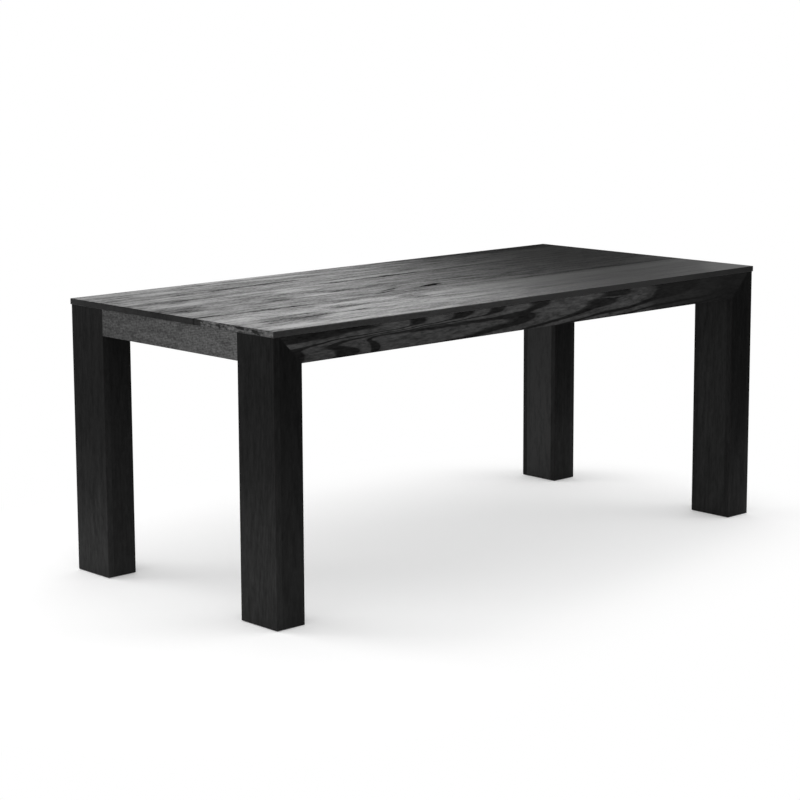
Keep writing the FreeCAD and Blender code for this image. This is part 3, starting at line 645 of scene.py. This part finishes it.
CLIP_WIDTH = 25.0
CLIP_METAL = 1.6
WEB_OUT = 4.0
CLIP_END = 26.0
DROP = 10.4
IN_SLOT = 8.0
SCREW_OUT = (WEB_OUT + CLIP_METAL + CLIP_END) / 2
UPPER_BEND, LOWER_BEND = 2.4, 0.9
shape = bmesh.new()
bmesh.ops.create_grid(shape, x_segments=1, y_segments=1, size=1.0)
for corner in shape.verts:
    corner.co.x = CLIP_END if corner.co.x > 0 else WEB_OUT
    corner.co.y *= CLIP_WIDTH / 2


def edge_at(out, up):
    """The clip's edges that lie this far out and up."""
    return [edge for edge in shape.edges
            if all((corner.co.xz - Vector((out, up))).length < 1e-4 for corner in edge.verts)]


for start, move in (((WEB_OUT, 0.0), (0.0, 0.0, -DROP)),
                    ((WEB_OUT, -DROP), (-WEB_OUT - IN_SLOT, 0.0, 0.0))):
    grown = bmesh.ops.extrude_edge_only(shape, edges=edge_at(*start))["geom"]
    corners = [part for part in grown if isinstance(part, bmesh.types.BMVert)]
    bmesh.ops.translate(shape, verts=corners, vec=move)
for place, radius in (((WEB_OUT, 0.0), UPPER_BEND), ((WEB_OUT, -DROP), LOWER_BEND)):
    bmesh.ops.bevel(shape, geom=edge_at(*place), offset=radius, offset_type="OFFSET", segments=5,
                    profile=0.5, affect="EDGES", material=-1)
tips = [corner for corner in shape.verts if corner.co.x > CLIP_END - 0.1 or corner.co.x < 0.1 - IN_SLOT]
bmesh.ops.bevel(shape, geom=tips, offset=2.5, offset_type="OFFSET", segments=5, profile=0.5,
                affect="VERTICES", material=-1)
flange = max(shape.faces, key=lambda face: face.calc_center_median().x)
rim = flange.edges[:]
bmesh.ops.delete(shape, geom=[flange], context="FACES_ONLY")
hole = bmesh.ops.create_circle(shape, segments=24, radius=2.2,
                               matrix=Matrix.Translation((SCREW_OUT, 0, 0)))
rim += {edge for corner in hole["verts"] for edge in corner.link_edges}
bmesh.ops.bridge_loops(shape, edges=rim)
bmesh.ops.recalc_face_normals(shape, faces=shape.faces)
bmesh.ops.solidify(shape, geom=shape.faces[:], thickness=CLIP_METAL)

BY_BRACE = (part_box("cross_batten_right")[1].x * MM + BRACE_LOW.x) / 2
BY_BATTEN = BATTENS_ALONG[2] / 2
CLIP_RUN = (-BY_BRACE, -BY_BATTEN, BY_BATTEN, BY_BRACE)
CLIP_PLACES = [Matrix.Rotation(math.radians(turn), 4, "Z") @ Matrix.Translation((-apron, x, UNDERSIDE))
               for turn, apron, run in ((90, INSIDE_Y, CLIP_RUN), (-90, INSIDE_Y, CLIP_RUN),
                                        (0, INSIDE_X, (0.0,)), (180, INSIDE_X, (0.0,))) for x in run]
fitted("top_clip_set", "top_clips", zinc_plate("clip_zinc", BRIGHT), shape, CLIP_PLACES)


# The clip screws. One 4 x 12 mm pan-head screw goes up through each clip into the top's underside.
# They are yellow zinc on steel, with the same head and cross recess as the brace screws.

fitted("clip_screw_set", "clip_screws", zinc_plate("clip_screw_zinc", YELLOW),
       wood_screw(12),
       [place @ Matrix.Translation((SCREW_OUT, 0, -CLIP_METAL)) for place in CLIP_PLACES])


# The glide cups. Each foot block has a disc of moulded black nylon let into its underside, just under
# 30 mm across. It keeps the leg's end grain 2 mm off the floor, and holds a felt pad in its lower face.

LEG_MIDDLE = middle("leg_back_right_foot_block")
GLIDE_PLACES = [(side_x * LEG_MIDDLE.x, side_y * LEG_MIDDLE.y, 0.0)
                for side_x in (-1, 1) for side_y in (-1, 1)]
CUP_TOP = 7
CUP_SEAT = 5.4
CUP_FLOOR = 3
CUP_FOOT = 1.2
nylon = Finish("black_nylon")
texture = nylon.noise(nylon.place, 2.0, 1800.0)
flow = nylon.noise(nylon.place, 2.0, 90.0)
cup = turned([(2.2, CUP_TOP), (2.2, CUP_SEAT), (4.2, CUP_SEAT), (4.2, CUP_FLOOR), (13.3, CUP_FLOOR),
              (13.3, CUP_FOOT), (14.75, CUP_FOOT), (14.75, CUP_TOP), (2.2, CUP_TOP)], 48)
fitted("glide_cup_set", "glide_cups",
       nylon.done(nylon.shader(nylon.grey(0.016 + flow * 0.003), 0.42 + texture * 0.08 + flow * 0.04,
                               nylon.bumped(texture, 0.00003))),
       eased(cup, 0.4, 13.0), [aimed(place, (0, 0, 1)) for place in GLIDE_PLACES])


# The glide screws. One 4 x 22 mm pan-head screw of the same kind holds each glide in its foot block.
# Its head is flush with the floor of the cup, so that the felt lies flat over it.

fitted("glide_screw_set", "glide_screws", zinc_plate("glide_screw_zinc", YELLOW),
       wood_screw(22), [aimed((x, y, CUP_SEAT), (0, 0, 1)) for x, y, z in GLIDE_PLACES])


# The felt pads. A 3 mm disc of pressed grey wool felt is glued into each glide, and it is all that
# touches the floor. Its edge has rounded over under the table's weight.

felt = Finish("grey_felt")
fibre = felt.noise(felt.place, 4.0, 900.0)
tuft = felt.noise(felt.place, 2.0, 160.0)
pad = turned([(0, 0), (11.6, 0), (12.35, 0.25), (12.8, 0.9), (12.9, 1.7), (12.9, CUP_FLOOR),
              (0, CUP_FLOOR)], 48)
fitted("felt_pad_set", "felt_pads",
       felt.done(felt.shader(felt.grey(0.15 + fibre * 0.05 + tuft * 0.03), 0.95 + fibre * 0.03,
                             felt.bumped(fibre + tuft * 0.6, 0.0003), Sheen_Weight=0.3)),
       pad, [aimed(place, (0, 0, 1)) for place in GLIDE_PLACES])


# The floor. It is a wide disc of matt paper in the studio's pale grey. What the camera sees of it
# goes over to white away from the table. Its mirror image in the lacquer goes dark there instead.

UNDER_TABLE = 0.005
WHITE = (1.0, 1.0, 1.0, 1.0)
PAPER_GREY = 0.8
PAPER_GLOW = 0.24
bpy.ops.mesh.primitive_circle_add(vertices=96, radius=9.0, fill_type="TRIFAN", location=(0, 0, 0))
floor = bpy.context.object
floor.name = "floor"
paper = Finish("floor")
from_middle = paper.add("ShaderNodeVectorMath", {"operation": "LENGTH"}, {0: paper.place}, "Value")
past_end = (abs(paper.x) - (TOP_END - UNDER_TABLE)).at_least(0.0)
past_side = (abs(paper.y) - (TOP_SIDE - UNDER_TABLE)).at_least(0.0)
past = (past_end * past_end + past_side * past_side).root()
camera_ray = paper.add("ShaderNodeLightPath", output="Is Camera Ray")
mirrored = camera_ray.output("Is Glossy Ray").at_least(camera_ray.output("Is Transmission Ray"))
speckle = paper.noise(paper.place, 2.0, 40.0)
near_grey = paper.grey(PAPER_GREY + speckle * 0.004)
near_shade = paper.add("ShaderNodeBsdfDiffuse", {}, {"Color": near_grey})
near_glow = paper.add("ShaderNodeEmission", {}, {"Color": WHITE, "Strength": PAPER_GLOW})
near = paper.add("ShaderNodeAddShader", {}, {0: near_shade, 1: near_glow})
plain_shade = PAPER_GREY - paper.smooth(from_middle, 1.2, 3.2) * 0.65
plain = paper.add("ShaderNodeBsdfDiffuse", {}, {"Color": paper.grey(plain_shade)})
back_left = paper.smooth(paper.y - paper.x, -0.5, 1.5)
near = paper.add("ShaderNodeMixShader", {}, {"Fac": mirrored * (1.0 - back_left), 1: near, 2: plain})
falling = (0.35 + 0.65 * paper.smooth(from_middle, 1.4, 3.0)) * (1.0 - back_left * 0.3)
white_shade = paper.grey(1.0 - mirrored * falling)
white = paper.add("ShaderNodeEmission", {}, {"Color": white_shade, "Strength": 1.0})
far = paper.smooth(past + paper.x * 0.2, 0.15, 0.65)
shown = paper.add("ShaderNodeMixShader", {}, {"Fac": far, 1: near, 2: white})
seen = camera_ray.at_least(mirrored)
looks = paper.add("ShaderNodeMixShader", {}, {"Fac": seen, 1: plain, 2: shown})
floor.data.materials.append(paper.done(looks))


# The light. Two soft boxes and a pale room light the table evenly. The lacquer also mirrors three
# strips of light overhead and the room's pale walls, which have a dark gap to the right rear.

def lamp(name, place, target, size, power, **reach):
    """A soft box that stands at a place and shines at a target. The camera doesn't see it."""
    data = bpy.data.lights.new(name, "AREA")
    data.shape = "RECTANGLE"
    data.size, data.size_y = size
    data.energy = power
    made = bpy.data.objects.new(name, data)
    bpy.context.scene.collection.objects.link(made)
    made.location = place
    made.rotation_mode = "QUATERNION"
    made.rotation_quaternion = (Vector(target) - Vector(place)).to_track_quat("-Z", "Y")
    made.visible_camera = False
    for rays, on in reach.items():
        setattr(made, rays, on)


lamp("back_left_box", (-2.5, 3.0, 2.6), (0.0, 0.0, 0.3), (2.5, 2.0), 50.0, visible_glossy=False)
lamp("right_front_box", (3.3, -2.9, 1.8), (0.3, 0.0, 0.4), (2.0, 2.0), 24.0, visible_glossy=False)
for x, power in ((0.0, 6.0), (0.8, 19.0), (1.2, 6.5)):
    lamp(f"overhead_strip_{x}", (x, 0.2, 2.0), (x, 0.2, 0.0), (0.4, 1.6), power, visible_diffuse=False)

ROOM_LIGHT = (0.93, 0.93, 0.93, 1.0)

# How bright the walls are, by the bearing in degrees. The back is 0, and the right end is 90.
WALLS = [(-180.0, 0.35), (-100.0, 0.5), (-60.0, 1.0), (0.0, 1.0), (30.0, 1.15), (41.0, 1.15), (43.5, 0.1),
         (47.0, 0.0), (49.5, 0.0), (51.0, 0.45), (52.5, 0.65), (58.0, 0.3), (90.0, 0.3), (180.0, 0.35)]
studio = Finish("studio", bpy.data.worlds, "ShaderNodeOutputWorld", "Generated")
bearing = studio.math("ARCTAN2", studio.x, studio.y) * (180 / math.pi)
walls = studio.ramp(bearing / 360.0 + 0.5, [(turn / 360.0 + 0.5, bright) for turn, bright in WALLS])
walls = studio.grey(walls * (1.0 - studio.smooth(studio.z, 0.2, 0.5) * 0.9))
camera_ray = studio.add("ShaderNodeLightPath", output="Is Camera Ray")
mirrored = camera_ray.output("Is Glossy Ray").at_least(camera_ray.output("Is Transmission Ray"))
light = studio.mixed(camera_ray, studio.mixed(mirrored, ROOM_LIGHT, walls), WHITE)
world = studio.done(studio.add("ShaderNodeBackground", {}, {"Color": light, "Strength": 1.0}))
world.cycles.sampling_method = "NONE"
bpy.context.scene.world = world


# The camera. It stands 6.3 m from the middle of the top and 0.8 m above it, to the left of the front,
# and looks over the left front leg to the right rear.

LOOKS_DOWN = 9.313
TURNED_RIGHT = 42.062
LEANS = 0.404
camera = bpy.data.objects.new("camera", bpy.data.cameras.new("camera"))
bpy.context.scene.collection.objects.link(camera)
bpy.context.scene.camera = camera
camera.data.lens = 100.53
camera.data.sensor_width = 36.0
camera.data.shift_x = 0.05
camera.data.shift_y = -0.05
camera.data.clip_end = 60.0
camera.location = (-4.3353, -4.5157, 1.5524)
pitch = Matrix.Rotation(math.radians(90.0 - LOOKS_DOWN), 3, "X")
yaw = Matrix.Rotation(math.radians(-TURNED_RIGHT), 3, "Z")
roll = Matrix.Rotation(math.radians(-LEANS), 3, "Z")
camera.rotation_euler = (yaw @ pitch @ roll).to_euler()
bpy.context.scene.view_settings.view_transform = "Standard"
